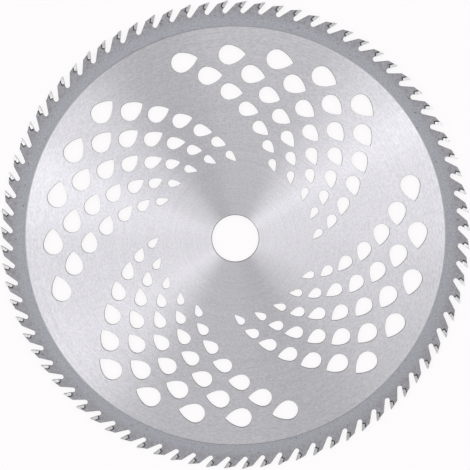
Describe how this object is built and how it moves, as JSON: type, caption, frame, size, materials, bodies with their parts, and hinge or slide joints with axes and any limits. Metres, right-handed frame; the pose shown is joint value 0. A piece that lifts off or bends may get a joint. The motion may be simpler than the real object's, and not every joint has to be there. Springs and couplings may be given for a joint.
{
  "type": "brush cutter blade",
  "caption": "Flat round steel brush cutter blade with carbide tipped teeth, a central bore and curved fields of drop-shaped holes.",
  "frame": {"origin": "the middle of the bore, halfway through the plate's thickness", "axes": "+Z along the bore's axis, square to the plate; +X towards the right of the picture, 1.7 degrees before the first tooth's cutting point, and +Y towards its top; the teeth point clockwise seen from +Z"},
  "size_m": [0.2548, 0.2548, 0.0024],
  "materials": {
    "plate": "finely brushed round the bore, with a matte blasted rim",
    "carbide_tip": "ground tungsten carbide"
  },
  "bodies": {
    "root": {"plate": "plate", "tip_pair_01": "carbide_tip", "tip_pair_02": "carbide_tip", "tip_pair_03": "carbide_tip", "tip_pair_04": "carbide_tip", "tip_pair_05": "carbide_tip", "tip_pair_06": "carbide_tip", "tip_pair_07": "carbide_tip", "tip_pair_08": "carbide_tip", "tip_pair_09": "carbide_tip", "tip_pair_10": "carbide_tip", "tip_pair_11": "carbide_tip", "tip_pair_12": "carbide_tip", "tip_pair_13": "carbide_tip", "tip_pair_14": "carbide_tip", "tip_pair_15": "carbide_tip", "tip_pair_16": "carbide_tip", "tip_pair_17": "carbide_tip", "tip_pair_18": "carbide_tip", "tip_pair_19": "carbide_tip", "tip_pair_20": "carbide_tip", "tip_pair_21": "carbide_tip", "tip_pair_22": "carbide_tip", "tip_pair_23": "carbide_tip", "tip_pair_24": "carbide_tip", "tip_pair_25": "carbide_tip", "tip_pair_26": "carbide_tip", "tip_pair_27": "carbide_tip", "tip_pair_28": "carbide_tip", "tip_pair_29": "carbide_tip", "tip_pair_30": "carbide_tip", "tip_pair_31": "carbide_tip", "tip_pair_32": "carbide_tip", "tip_pair_33": "carbide_tip", "tip_pair_34": "carbide_tip", "tip_pair_35": "carbide_tip", "tip_pair_36": "carbide_tip", "tip_pair_37": "carbide_tip", "tip_pair_38": "carbide_tip", "tip_pair_39": "carbide_tip", "tip_pair_40": "carbide_tip"}
  },
  "joints": []
}
